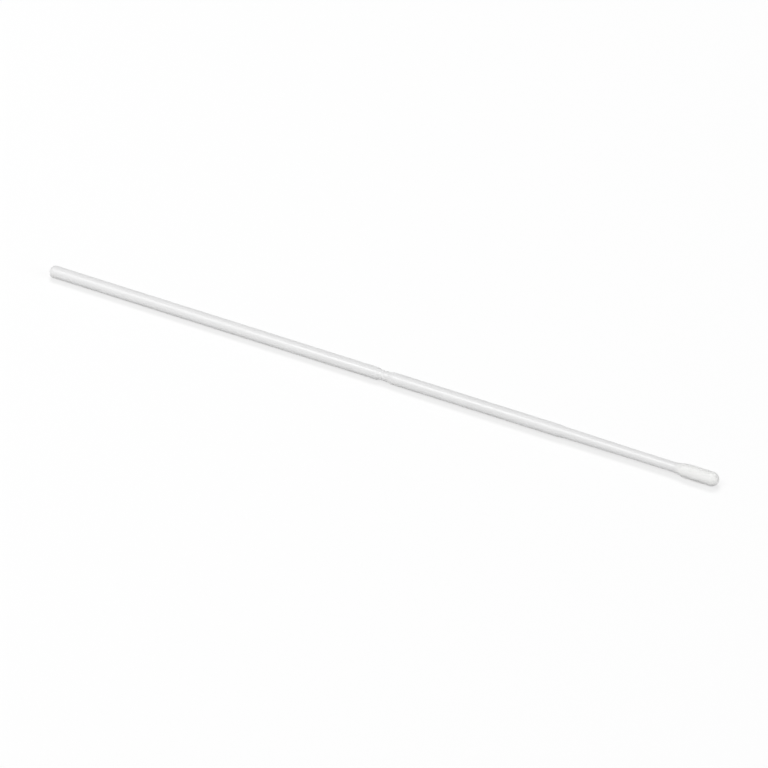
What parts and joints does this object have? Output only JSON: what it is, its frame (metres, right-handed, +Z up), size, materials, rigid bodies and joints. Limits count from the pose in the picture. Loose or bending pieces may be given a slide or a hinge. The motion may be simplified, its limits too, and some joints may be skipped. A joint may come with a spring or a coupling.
{
  "type": "flocked specimen swab",
  "caption": "Lying flocked swab: a slim white moulded stick with a break point midway, a stepped taper to a thin neck, and a soft round-nosed fibre tip.",
  "frame": {"origin": "on the surface that the swab lies on, under the middle of its length", "axes": "+X along the swab from the handle to the flocked tip, +Z up from the surface; the swab's own axis rises 0.11 degrees towards +X, because the tip is fatter than the handle"},
  "size_m": [0.15, 0.003, 0.0031],
  "materials": {
    "moulded_plastic": "satin",
    "flock": "matte"
  },
  "bodies": {
    "root": {"shaft": "moulded_plastic", "flocked_tip": "flock"}
  },
  "joints": []
}
